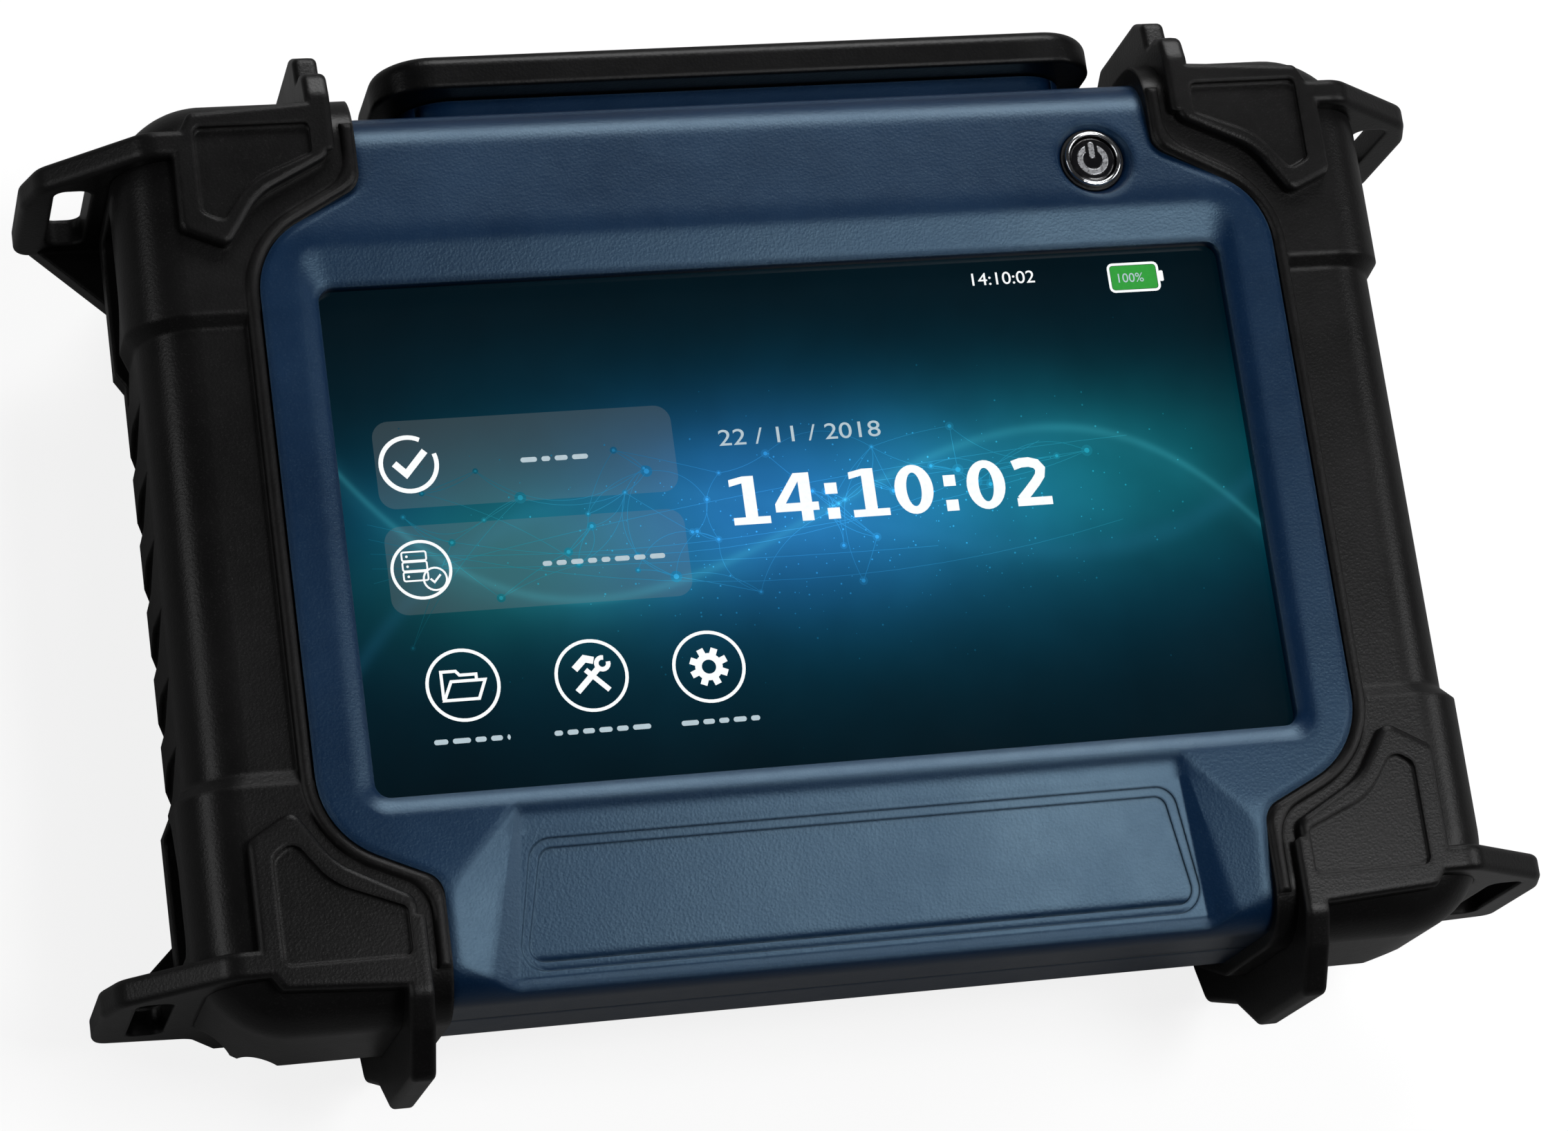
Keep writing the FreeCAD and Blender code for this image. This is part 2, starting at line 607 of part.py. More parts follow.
def main_board():
    board = slab(rectangle(-82.0, -54.0, 82.0, 54.0, 3.0), *BOARD_Z)
    for x, y in BOARD_SCREWS:
        board = board.cut(rod(1.6, (x, y, 0.0), (x, y, FAR)))
    board = board.cut(box((SFP_XS[0] - 8.0, SFP_XS[1] + 8.0), (34.0, FAR), (0.0, FAR)))
    chips = [((-50.0, -10.0), 16.0), ((-20.0, -30.0), 12.0), ((20.0, -28.0), 12.0), ((50.0, -40.0), 10.0)]
    top = BOARD_Z[1]
    blocks = [slab(rectangle(x - s / 2, y - s / 2, x + s / 2, y + s / 2), top, top + 1.8)
              for (x, y), s in chips]
    return fuse(board, *blocks)


def signal_shield():
    """Tinned can over the measurement circuits, with a row of vent holes."""
    can = slab(rectangle(-34.0, 0.0, 34.0, 32.0, 2.0), BOARD_Z[1], BOARD_Z[1] + 7.0)
    can = can.cut(slab(rectangle(-33.4, 0.6, 33.4, 31.4, 1.4), 0.0, BOARD_Z[1] + 6.4))
    for i in range(7):
        x = -24.0 + 8.0 * i
        can = can.cut(rod(1.2, (x, 26.0, 0.0), (x, 26.0, FAR)))
    return can


def speaker():
    frame = rod(11.0, (64.0, -20.0, 14.0), (64.0, -20.0, 20.0))
    magnet = rod(7.0, (64.0, -20.0, 20.0), (64.0, -20.0, 24.0))
    return fuse(frame, magnet)


# ---- power button --------------------------------------------------------------------------


def power_button_ring():
    x, y = BUTTON
    bore = rod(BUTTON_CAP_R + 0.15, (x, y, 0.0), (x, y, FAR))
    ring = rod(5.0, (x, y, 50.0), (x, y, BUTTON_Z + 0.5)).cut(bore)
    ring = rounded(ring, 0.35, lambda p: p.z > BUTTON_Z + 0.49)
    flange = rod(7.4, (x, y, 50.0), (x, y, 51.2)).cut(rod(4.9, (x, y, 0.0), (x, y, FAR)))
    return fuse(ring, flange)


def power_button_sleeve():
    """Black insulating sleeve between the ring and the cover."""
    x, y = BUTTON
    return rod(5.55, (x, y, 51.2), (x, y, BUTTON_Z - 0.5)).cut(rod(5.0, (x, y, 0.0), (x, y, FAR)))


def power_symbol_shapes():
    """The standard on/off mark: an open ring and a short bar."""
    x, y = BUTTON
    low = BUTTON_Z - 0.6
    ring_y = y - 0.1
    ring = rod(2.75, (x, ring_y, low), (x, ring_y, BUTTON_Z))
    ring = ring.cut(rod(1.75, (x, ring_y, 0.0), (x, ring_y, FAR)))
    gap = box((x - 1.1, x + 1.1), (y, y + 4.0), (0.0, FAR))
    bar = slab(rectangle(x - 0.5, y + 0.2, x + 0.5, y + 3.1, 0.45), low, BUTTON_Z)
    return ring.cut(gap), bar


def power_button_cap():
    x, y = BUTTON
    cap = rod(BUTTON_CAP_R, (x, y, 52.4), (x, y, BUTTON_Z))
    cap = rounded(cap, 0.5, lambda p: p.z > BUTTON_Z - 0.01)
    stem = rod(1.6, (x, y, 44.7 + BUTTON_TRAVEL), (x, y, 52.4))
    cap = fuse(cap, stem)
    for shape in power_symbol_shapes():
        cap = cap.cut(shape)
    return cap


def power_switch():
    """Switch block on its own small board under the button."""
    x, y = BUTTON
    board = slab(rectangle(x - 9.0, y - 7.0, x + 9.0, y + 7.0, 1.0), 39.2, 40.6)
    block = slab(rectangle(x - 5.0, y - 5.0, x + 5.0, y + 5.0, 1.0), 40.6, 43.6)
    plunger = rod(2.2, (x, y, 43.6), (x, y, 44.6))
    return fuse(board, block, plunger)


# ---- port bay ------------------------------------------------------------------------------


def port_block(x, size, depth):
    """Outside of a connector body behind the port panel; size is its width and height."""
    width, height = size
    return box((x - width / 2, x + width / 2), (PORT_PANEL_Y[1] - depth, PORT_PANEL_Y[1] + 0.6),
               (PORT_Z - height / 2, PORT_Z + height / 2))


def port_mouth(x, size, depth):
    width, height = size
    return box((x - width / 2, x + width / 2), (PORT_PANEL_Y[1] - depth, FAR),
               (PORT_Z - height / 2, PORT_Z + height / 2))


def rj45_jack():
    shell = port_block(RJ45_X, RJ45_BODY, 18.0).cut(port_mouth(RJ45_X, (11.8, 7.4), 13.0))
    key = box((RJ45_X - 3.2, RJ45_X + 3.2), (PORT_PANEL_Y[1] - 8.0, FAR), (PORT_Z - 6.0, PORT_Z))
    contacts = [box((RJ45_X - 3.7 + 1.02 * i, RJ45_X - 3.3 + 1.02 * i),
                    (PORT_PANEL_Y[1] - 13.0, PORT_PANEL_Y[1] - 4.0), (PORT_Z + 3.0, PORT_Z + 3.8))
                for i in range(8)]
    return fuse(shell.cut(key), *contacts)


def sfp_cages():
    cages = []
    for x in SFP_XS:
        cages.append(port_block(x, SFP_BODY, 40.0).cut(port_mouth(x, (14.0, 9.0), 39.0)))
    return cages


def usb_socket():
    shell = port_block(USB_X, USB_BODY, 16.0).cut(port_mouth(USB_X, (12.6, 5.2), 13.0))
    tongue = box((USB_X - 5.4, USB_X + 5.4), (PORT_PANEL_Y[1] - 13.5, PORT_PANEL_Y[1] - 1.0),
                 (PORT_Z + 0.4, PORT_Z + 2.2))
    return fuse(shell, tongue)


def dc_jack():
    y0, y1 = PORT_PANEL_Y[1] - 14.0, PORT_PANEL_Y[1] + 0.6
    body = rod(DC_BODY_R, (DC_X, y0, PORT_Z), (DC_X, y1, PORT_Z))
    body = body.cut(rod(2.9, (DC_X, y0 + 3.0, PORT_Z), (DC_X, FAR, PORT_Z)))
    pin = rod(1.0, (DC_X, y0 + 2.0, PORT_Z), (DC_X, y1 - 1.0, PORT_Z))
    return fuse(body, pin)


def port_panel():
    x, inset = NECK_X - 2.3, 2.3
    plan = rectangle(BAY_X - x, NECK_Z[0] + inset, BAY_X + x, NECK_Z[1] - inset, 6.6)
    plate = slab(plan, *PORT_PANEL_Y, "XZ")
    bodies = [(RJ45_X, RJ45_BODY), (SFP_XS[0], SFP_BODY), (SFP_XS[1], SFP_BODY), (USB_X, USB_BODY)]
    for x, size in bodies:
        plate = plate.cut(port_mouth(x, size, 40.0))
    return plate.cut(rod(DC_BODY_R, (DC_X, 0.0, PORT_Z), (DC_X, FAR, PORT_Z)))


# ---- port cover ----------------------------------------------------------------------------


def lid_lugs():
    """Hinge ears on the back cover, a pair round each knuckle of the port cover."""
    y, z = HINGE_YZ
    lugs = []
    for low, high in LID_KNUCKLES:
        for x in (low - GAP - LUG_W, high + GAP):
            root = BODY_TOP - 9.0
            side = [(root, z - 3.0), (y, z - 3.0), (y, z + 3.0), (root, z + 7.0)]
            ear = slab(side, x, x + LUG_W, "YZ")
            ear = fuse(ear, rod(3.0, (x, y, z), (x + LUG_W, y, z)))
            lugs.append(ear.cut(rod(HINGE_PIN_R, (-FAR, y, z), (FAR, y, z))))
    return lugs


def port_cover():
    y, z = HINGE_YZ
    plan = rectangle(BAY_X - LID_X, LID_Z[0], BAY_X + LID_X, LID_Z[1], 10.0)
    lid = slab(plan, LID_Y[0], LID_Y[1], "XZ")
    lid = rounded(lid, 2.4, lambda p: p.y > LID_Y[1] - 0.01)
    lid = rounded(lid, 0.6, lambda p: p.y < LID_Y[0] + 0.01)
    cavity = rectangle(BAY_X - 51.0, 26.0, BAY_X + 51.0, 37.0, 4.0)
    lid = lid.cut(slab(cavity, LID_Y[0] - 1.0, LID_Y[0] + 3.0, "XZ"))
    for low, high in LID_KNUCKLES:
        inner, outer = LID_Y[0], LID_Y[0] + 3.0
        arm = slab([(inner, LID_Z[0] + 6.0), (outer, LID_Z[0] + 6.0), (outer, z), (y, z - 3.0),
                    (y, z + 2.0), (inner, z + 3.4)], low, high, "YZ")
        knuckle = rod(3.0, (low, y, z), (high, y, z))
        lid = fuse(lid, arm, knuckle)
        lid = lid.cut(rod(HINGE_PIN_R + RUN, (-FAR, y, z), (FAR, y, z)))
    return lid


def port_cover_seal():
    """Soft rim under the port cover that plugs the collar's mouth."""
    rims = [rectangle(BAY_X - NECK_X + c, NECK_Z[0] + c, BAY_X + NECK_X - c, NECK_Z[1] - c, 9.0 - c)
            for c in (2.8, 4.6)]
    outer, inner = rims
    return slab(outer, LID_Y[0] - 2.0, LID_Y[0], "XZ").cut(slab(inner, 0.0, FAR, "XZ"))


def port_cover_pins():
    y, z = HINGE_YZ
    reach = GAP + LUG_W
    return [rod(HINGE_PIN_R, (low - reach, y, z), (high + reach, y, z)) for low, high in LID_KNUCKLES]


# ---- tilt stand ----------------------------------------------------------------------------


def stand_recess():
    """Hollow in the rear face that the folded stand lies in, with room for its swing."""
    y, z = STAND_PIVOT
    floor = BACK_Z + STAND_THICK + 1.4
    hollow = box((-STAND_X - 1.0, STAND_X + 1.0), (STAND_FREE_Y - 5.4, y + 5.2), (-1.0, floor))
    inside = STAND_X - STAND_KNUCKLE_W - 0.4
    ears = box((-inside, inside), (y - EAR_REACH, y + 6.0), (-1.0, floor + 1.0))
    pin = rod(STAND_PIN_R, (-STAND_X - 4.0, y, z), (STAND_X + 4.0, y, z))
    return fuse(hollow.cut(ears), pin)


def tilt_stand():
    y, z = STAND_PIVOT
    low, high = BACK_Z + 0.6, BACK_Z + 0.6 + STAND_THICK
    leaf = slab(rectangle(-STAND_X, STAND_FREE_Y, STAND_X, y, 4.0), low, high)
    frame = 14.0
    window = rectangle(-STAND_X + frame, STAND_FREE_Y + frame, STAND_X - frame, y - frame, 4.0)
    leaf = leaf.cut(slab(window, 0.0, FAR))
    inside = STAND_X - STAND_KNUCKLE_W
    leaf = leaf.cut(box((-inside, inside), (y - STAND_ROOM, FAR), (0.0, FAR)))
    leaf = leaf.cut(box((-FAR, FAR), (y - 2.4, FAR), (0.0, FAR)))
    knuckles = []
    for x in (-STAND_X, inside):
        far_x = x + STAND_KNUCKLE_W
        knuckles.append(rod(STAND_KNUCKLE_R, (x, y, z), (far_x, y, z)))
        knuckles.append(box((x, far_x), (y - 4.0, y), (z - STAND_KNUCKLE_R, z + STAND_KNUCKLE_R)))
    whole = fuse(leaf, *knuckles)
    return whole.cut(rod(STAND_PIN_R + RUN, (-FAR, y, z), (FAR, y, z)))


def tilt_stand_pins():
    y, z = STAND_PIVOT
    return [rod(STAND_PIN_R, (x0, y, z), (x0 + 14.0, y, z)) for x0 in (-STAND_X - 4.0, STAND_X - 10.0)]


def tilt_stand_foot():
    """Soft strip along the stand's free edge."""
    low = BACK_Z + 0.6
    strip = rectangle(-STAND_X + 6.0, STAND_FREE_Y - 3.0, STAND_X - 6.0, STAND_FREE_Y)
    return slab(strip, low + 0.4, low + 4.0)


# ---- battery -------------------------------------------------------------------------------


def battery_pack():
    body = box((-BATTERY_X, BATTERY_X), BATTERY_Y, BATTERY_Z)
    body = rounded(body, 1.5, lambda p: p.z > BATTERY_Z[1] - 0.01)
    for x in (-12.0, -4.0, 4.0, 12.0):
        body = body.cut(box((x - 2.0, x + 2.0), (BATTERY_Y[1] - 4.0, FAR), (18.0, 22.0)))
    return body


def battery_contacts():
    y = BATTERY_Y[1]
    block = box((-16.0, 16.0), (y + 3.0, y + 10.0), (17.0, 23.0))
    blades = [box((x - 1.2, x + 1.2), (y - 2.5, y + 3.0), (19.6, 20.4)) for x in (-12.0, -4.0, 4.0, 12.0)]
    return fuse(block, *blades)


def battery_hatch():
    """Flush lid over the battery bay, with five finger grooves and two screw seats."""
    plan = rectangle(-HATCH_X, HATCH_Y[0], HATCH_X, HATCH_Y[1], 0.6)
    plate = slab(plan, BACK_Z, BACK_Z + HATCH_THICK)
    for x, y in HATCH_SCREWS:
        plate = plate.cut(rod(1.4, (x, y, 0.0), (x, y, FAR)))
        plate = plate.cut(rod(2.9, (x, y, 0.0), (x, y, BACK_Z + 1.4)))
    for i in range(5):
        y = -50.0 + 3.2 * i
        plate = plate.cut(slab(rectangle(-16.0, y, 16.0, y + 1.4, 0.6), 0.0, BACK_Z + 0.8))
    return plate


# ---- main ----------------------------------------------------------------------------------


def main():
    os.makedirs("parts", exist_ok=True)
    covers = covers_solid()
    neck = neck_solid()
    envelope = grips_envelope()
    front = front_cover(covers, neck)
    back = back_cover(covers, neck)
    seal = case_seal()
    front, back = front.cut(seal), back.cut(seal)
    save("front_cover", front)
    save("back_cover", back)
    save("case_seal", seal)

    centre = slab(brow_profile(), -BODY_X, BODY_X, "YZ").cut(slab(seam(), 0.0, FAR))
    blue = fuse(covers, centre.cut(mirror_x(slab(seam(), 0.0, FAR))))
    right = grip(envelope, covers)
    save("grip_right", right)
    save("grip_left", mirror_x(right))
    for top, row in ((True, "top"), (False, "bottom")):
        corner = bumper(top, fuse(envelope, right), blue)
        save(f"bumper_{row}_right", corner)
        save(f"bumper_{row}_left", mirror_x(corner).removeSplitter())

    save("touch_glass", touch_glass())
    save("glass_gasket", glass_gasket())
    save("display_panel", display_panel())
    save("display_bracket", display_bracket())
    ears = [screw(x, y, BRACKET_REAR, 4.0, 2.6, 1.6, -1.0) for x, y in BRACKET_EARS]
    save("display_screws", *ears)
    save("main_board", main_board())
    save("board_screws", *[screw(x, y, BOARD_Z[1], 6.0, 2.6, 1.6) for x, y in BOARD_SCREWS])
    save("signal_shield", signal_shield())
    save("speaker", speaker())

    save("power_button_ring", power_button_ring())
    save("power_button_sleeve", power_button_sleeve())
    save("power_button_cap", power_button_cap())
    save("power_symbol", *power_symbol_shapes())
    save("power_switch", power_switch())

    save("port_panel", port_panel())
    save("rj45_jack", rj45_jack())
    save("sfp_cages", *sfp_cages())
    save("usb_socket", usb_socket())
    save("dc_jack", dc_jack())
    save("port_cover", port_cover())
    save("port_cover_seal", port_cover_seal())
    save("port_cover_pins", *port_cover_pins())

    save("tilt_stand", tilt_stand())
    save("tilt_stand_pins", *tilt_stand_pins())
    save("tilt_stand_foot", tilt_stand_foot())
    save("battery_pack", battery_pack())
    save("battery_contacts", battery_contacts())
    save("battery_hatch", battery_hatch())
    hatch_screws = [screw(x, y, BACK_Z + 1.4, 4.8, 2.6, 1.2, -1.0) for x, y in HATCH_SCREWS]
    save("hatch_screws", *hatch_screws)
    case_screws = [screw(x, y, BACK_Z + 4.0, 40.0, 2.7, 2.4, -1.0) for x, y in CASE_SCREWS]
    save("case_screws", *case_screws)


main()
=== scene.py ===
"""Looks for a handheld network cable tester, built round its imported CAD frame, in metres."""
import json
import math
import random

import bmesh
import bpy
from mathutils import Matrix, Vector


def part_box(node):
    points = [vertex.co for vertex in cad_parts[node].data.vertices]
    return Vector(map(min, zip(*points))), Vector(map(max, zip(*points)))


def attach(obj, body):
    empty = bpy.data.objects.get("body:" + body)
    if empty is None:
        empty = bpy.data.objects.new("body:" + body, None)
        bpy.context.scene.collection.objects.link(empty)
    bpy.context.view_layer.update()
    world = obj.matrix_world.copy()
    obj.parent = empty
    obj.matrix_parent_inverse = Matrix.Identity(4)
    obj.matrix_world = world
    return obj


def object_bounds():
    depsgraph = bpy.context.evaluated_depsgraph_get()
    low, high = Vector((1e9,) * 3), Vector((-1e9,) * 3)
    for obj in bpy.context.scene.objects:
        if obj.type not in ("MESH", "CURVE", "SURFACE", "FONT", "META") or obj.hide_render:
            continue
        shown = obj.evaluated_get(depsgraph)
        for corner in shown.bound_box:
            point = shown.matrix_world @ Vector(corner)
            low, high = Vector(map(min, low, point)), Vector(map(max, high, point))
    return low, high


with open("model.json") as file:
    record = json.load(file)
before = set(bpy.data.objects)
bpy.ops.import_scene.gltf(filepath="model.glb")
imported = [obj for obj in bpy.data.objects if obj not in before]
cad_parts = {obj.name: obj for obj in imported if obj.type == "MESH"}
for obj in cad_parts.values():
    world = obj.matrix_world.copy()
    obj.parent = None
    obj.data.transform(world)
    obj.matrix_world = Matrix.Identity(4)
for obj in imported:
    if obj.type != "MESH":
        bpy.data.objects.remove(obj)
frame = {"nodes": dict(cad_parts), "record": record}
CAD_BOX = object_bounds()
NODES = frame["nodes"]
MM = 0.001
LABEL = ((-0.0588, -0.0732), (0.0588, -0.0512))  # opposite corners of the label field, in metres
LABEL_BORDER = 0.0012  # width over which crease blending starts outside the label field

ACROSS = (0.04, 1.0, 1.0)  # scale that draws metal scratches out along X
ALONG = (1.0, 0.05, 1.0)  # scale that draws metal scratches out along Y
EVEN = (1.0, 1.0, 1.0)

RAISE_VEIL = 0.02  # heights of the screen artwork over the glass, in mm
RAISE_HALO = 0.025
RAISE_THREAD = 0.028
RAISE_FILL = 0.03
RAISE_SPARK = 0.031
RAISE_ROUND = 0.04
RAISE_MARK = 0.05
SINK = 0.02  # depth of the artwork's feet in the glass, in mm

STARS = 46
SPECKS = 420
TRAILS = 5
ARC_STEPS = 16
INK_DIM = 0.85  # darkest share of an ink's own colour

# ---- node helpers --------------------------------------------------------------------------


def add(tree, kind, inputs=None, **settings):
    """Adds a shader node; inputs are values or sockets to link from."""
    node = tree.nodes.new(kind)
    for name, value in settings.items():
        setattr(node, name, value)
    for key, value in (inputs or {}).items():
        if isinstance(value, bpy.types.NodeSocket):
            tree.links.new(value, node.inputs[key])
        else:
            node.inputs[key].default_value = value
    return node


def blank(name):
    """A new material with only a Principled shader and its output."""
    material = bpy.data.materials.new(name)
    material.use_nodes = True
    tree = material.node_tree
    tree.nodes.clear()
    shader = add(tree, "ShaderNodeBsdfPrincipled")
    out = add(tree, "ShaderNodeOutputMaterial")
    tree.links.new(shader.outputs[0], out.inputs[0])
    return material, tree, shader


def settle(shader, **values):
    """Sets constants on the shader's own sockets; underscores stand for spaces."""
    for name, value in values.items():
        shader.inputs[name.replace("_", " ")].default_value = value


def position(tree):
    return add(tree, "ShaderNodeTexCoord").outputs["Object"]


def noise(tree, where, scale, detail=3.0, rough=0.5):
    inputs = {"Vector": where, "Scale": scale, "Detail": detail, "Roughness": rough}
    return add(tree, "ShaderNodeTexNoise", inputs).outputs["Fac"]


def math_node(tree, operation, a, b=0.0):
    return add(tree, "ShaderNodeMath", {0: a, 1: b}, operation=operation).outputs[0]


def spread(tree, value, low, high, to_low=0.0, to_high=1.0):
    """The value mapped from low..high to to_low..to_high, clamped."""
    inputs = {"Value": value, "From Min": low, "From Max": high, "To Min": to_low, "To Max": to_high}
    return add(tree, "ShaderNodeMapRange", inputs).outputs[0]


def mix(tree, factor, a, b):
    """Colour mix; a and b are colours or sockets."""
    node = add(tree, "ShaderNodeMix", data_type="RGBA")
    for index, value in ((0, factor), (6, a), (7, b)):
        if isinstance(value, bpy.types.NodeSocket):
            tree.links.new(value, node.inputs[index])
        elif index:
            node.inputs[index].default_value = (*value, 1.0)
        else:
            node.inputs[index].default_value = value
    return node.outputs[2]


def edges(tree, radius):
    """(rounded normal, mask that is 1 on edges) from a bevel of the given radius."""
    bevel = add(tree, "ShaderNodeBevel", {"Radius": radius}, samples=4).outputs[0]
    flat = add(tree, "ShaderNodeNewGeometry").outputs["Normal"]
    close = add(tree, "ShaderNodeVectorMath", {0: bevel, 1: flat}, operation="DOT_PRODUCT").outputs["Value"]
    return bevel, spread(tree, close, 0.86, 0.99, 1.0, 0.0)


def bump(tree, height, strength, depth, normal=None):
    inputs = {"Height": height, "Strength": strength, "Distance": depth}
    if normal is not None:
        inputs["Normal"] = normal
    return add(tree, "ShaderNodeBump", inputs).outputs[0]


def off_label(tree, where):
    """1 away from the label field below the screen, 0 on it, with a soft border."""
    axes = add(tree, "ShaderNodeSeparateXYZ", {0: where}).outputs
    (x0, y0), (x1, y1) = LABEL
    across = math_node(tree, "ABSOLUTE", math_node(tree, "SUBTRACT", axes[0], (x0 + x1) / 2))
    along = math_node(tree, "ABSOLUTE", math_node(tree, "SUBTRACT", axes[1], (y0 + y1) / 2))
    past_x = math_node(tree, "SUBTRACT", across, (x1 - x0) / 2)
    past_y = math_node(tree, "SUBTRACT", along, (y1 - y0) / 2)
    return spread(tree, math_node(tree, "MAXIMUM", past_x, past_y), 0.0, LABEL_BORDER)


def blend_normals(tree, first, second, share):
    """Normal that goes from first to second as share goes from 0 to 1."""
    node = add(tree, "ShaderNodeMix", data_type="VECTOR")
    for index, value in ((0, share), (4, first), (5, second)):
        tree.links.new(value, node.inputs[index])
    return add(tree, "ShaderNodeVectorMath", {0: node.outputs[1]}, operation="NORMALIZE").outputs[0]


# ---- materials -----------------------------------------------------------------------------


def moulded(name, dark, light, worn_and_highlit, rough, grain, depth, blotch=30.0, wear_and_highlight=0.5, radius=0.0005, soft=0.0,
            **constants):
    """Moulded plastic or rubber: blotchy colour, fine grain, lighter edges that are partly rubbed wear and
    partly a painted edge highlight, and uneven sheen.

    soft is a wider radius over which the shading of creases is blended, in metres.
    """
    material, tree, shader = blank(name)
    where = position(tree)
    cloud = noise(tree, where, blotch, 5.0, 0.6)
    dust = noise(tree, where, blotch * 9.0, 4.0, 0.7)
    fine = noise(tree, where, grain, 3.0, 0.6)
    pits = add(tree, "ShaderNodeTexVoronoi", {"Vector": where, "Scale": grain * 0.55}).outputs["Distance"]
    rim, edge = edges(tree, radius)
    if soft:
        rim = blend_normals(tree, rim, edges(tree, soft)[0], off_label(tree, where))
    body = mix(tree, spread(tree, cloud, 0.35, 0.65), dark, light)
    body = mix(tree, spread(tree, fine, 0.45, 0.75, 0.0, 0.35), body, light)
    patches = spread(tree, dust, 0.4, 0.6, 0.1, 0.5)
    flecks = math_node(tree, "MULTIPLY", spread(tree, fine, 0.56, 0.70), patches)
    body = mix(tree, math_node(tree, "MULTIPLY", flecks, wear_and_highlight), body, worn_and_highlit)
    # lighter colour along every edge from the bevel mask: partly rubbed wear, partly a painted highlight on
    # the edges
    rubbed_and_highlit_edges = math_node(tree, "MULTIPLY", edge, spread(tree, dust, 0.35, 0.65, wear_and_highlight * 0.25, wear_and_highlight))
    body = mix(tree, rubbed_and_highlit_edges, body, worn_and_highlit)
    tree.links.new(body, shader.inputs["Base Color"])
    sheen = math_node(tree, "ADD", spread(tree, dust, 0.2, 0.8, rough - 0.02, rough + 0.02),
                      spread(tree, cloud, 0.3, 0.7, -0.03, 0.03))
    tree.links.new(sheen, shader.inputs["Roughness"])
    height = math_node(tree, "ADD", fine, math_node(tree, "MULTIPLY", pits, 0.8))
    tree.links.new(bump(tree, height, 0.5, depth, rim), shader.inputs["Normal"])
    settle(shader, **constants)
    return material


def metal(name, colour, rough, stretch=EVEN, scratch=900.0, coat=0.0):
    """Metal with directional fine scratches and slight tarnish."""
    material, tree, shader = blank(name)
    where = position(tree)
    along = add(tree, "ShaderNodeMapping", {"Vector": where, "Scale": stretch}).outputs[0]
    lines = noise(tree, along, scratch, 4.0, 0.65)
    cloud = noise(tree, where, 90.0, 4.0)
    rim, edge = edges(tree, 0.0002)
    dull = tuple(c * 0.72 for c in colour)
    bright = tuple(min(1.0, c * 1.25) for c in colour)
    body = mix(tree, spread(tree, cloud, 0.35, 0.7), colour, dull)
    body = mix(tree, math_node(tree, "MULTIPLY", edge, 0.4), body, bright)
    tree.links.new(body, shader.inputs["Base Color"])
    tree.links.new(spread(tree, lines, 0.3, 0.7, rough * 0.7, rough * 1.3), shader.inputs["Roughness"])
    tree.links.new(bump(tree, lines, 0.25, 0.00002, rim), shader.inputs["Normal"])
    settle(shader, Metallic=1.0, Coat_Weight=coat)
    return material


def board_material():
    """Green solder mask with fine copper tracks under it."""
    material, tree, shader = blank("solder_mask")
    where = position(tree)
    cells = add(tree, "ShaderNodeTexVoronoi", {"Vector": where, "Scale": 260.0}, feature="DISTANCE_TO_EDGE")
    track = spread(tree, cells.outputs["Distance"], 0.03, 0.06, 1.0, 0.0)
    cloud = noise(tree, where, 60.0)
    body = mix(tree, cloud, (0.008, 0.07, 0.03), (0.014, 0.11, 0.05))
    body = mix(tree, math_node(tree, "MULTIPLY", track, 0.6), body, (0.05, 0.2, 0.08))
    tree.links.new(body, shader.inputs["Base Color"])
    tree.links.new(bump(tree, track, 0.3, 0.00003), shader.inputs["Normal"])
    tree.links.new(spread(tree, cloud, 0.3, 0.7, 0.28, 0.4), shader.inputs["Roughness"])
    return material


def fade_out(tree, square, colour):
    """The colour, falling off as a bell curve; square is the squared distance from its middle."""
    level = math_node(tree, "EXPONENT", math_node(tree, "MULTIPLY", square, -0.5))
    return add(tree, "ShaderNodeVectorMath", {0: colour, "Scale": level}, operation="SCALE").outputs[0]


def glow(tree, x, y, centre, size, colour):
    """A soft oval of light, as a colour, centred at centre with the given standard deviations."""
    squares = []
    for axis, middle, spreading in ((x, centre[0], size[0]), (y, centre[1], size[1])):
        away = math_node(tree, "SUBTRACT", axis, middle * MM)
        away = math_node(tree, "DIVIDE", away, spreading * MM)
        squares.append(math_node(tree, "MULTIPLY", away, away))
    return fade_out(tree, math_node(tree, "ADD", squares[0], squares[1]), colour)


# ovals of light: centre in mm, standard deviations in mm, colour
GLOWS = [
    ((0.0, -2.0), (58.0, 18.0), (0.0012, 0.048, 0.085)),
    ((36.0, 3.0), (26.0, 9.5), (0.003, 0.110, 0.100)),
    ((-2.0, 1.0), (27.0, 9.5), (0.016, 0.090, 0.330)),
    ((-46.0, -2.0), (18.0, 9.0), (0.004, 0.085, 0.045)),
    ((-70.0, 2.0), (10.0, 7.0), (0.0, 0.004, 0.030)),
]
# bands of light: the middle, slope, bend, lift and width that wave_light takes, and the colour
WAVES = [
    (2.0, 0.460, 0.000096, 0.0, 0.6, (0.008, 0.058, 0.068)),
    (2.0, 0.460, 0.000096, -0.8, 2.4, (0.002, 0.018, 0.024)),
    (8.0, -0.300, -0.000070, -2.0, 1.4, (0.002, 0.014, 0.026)),
]


def wave_light(tree, x, y, middle, slope, bend, lift, width, colour):
    """A soft band of light along an S-shaped curve.

    The curve is y = lift + slope s - bend s cubed, where s is x less middle, all in mm.
    """
    s = math_node(tree, "SUBTRACT", math_node(tree, "DIVIDE", x, MM), middle)
    pull = math_node(tree, "MULTIPLY", math_node(tree, "MULTIPLY", s, s), -bend)
    path = math_node(tree, "MULTIPLY", s, math_node(tree, "ADD", pull, slope))
    path = math_node(tree, "ADD", path, lift)
    away = math_node(tree, "SUBTRACT", math_node(tree, "DIVIDE", y, MM), path)
    away = math_node(tree, "DIVIDE", away, width)
    return fade_out(tree, math_node(tree, "MULTIPLY", away, away), colour)


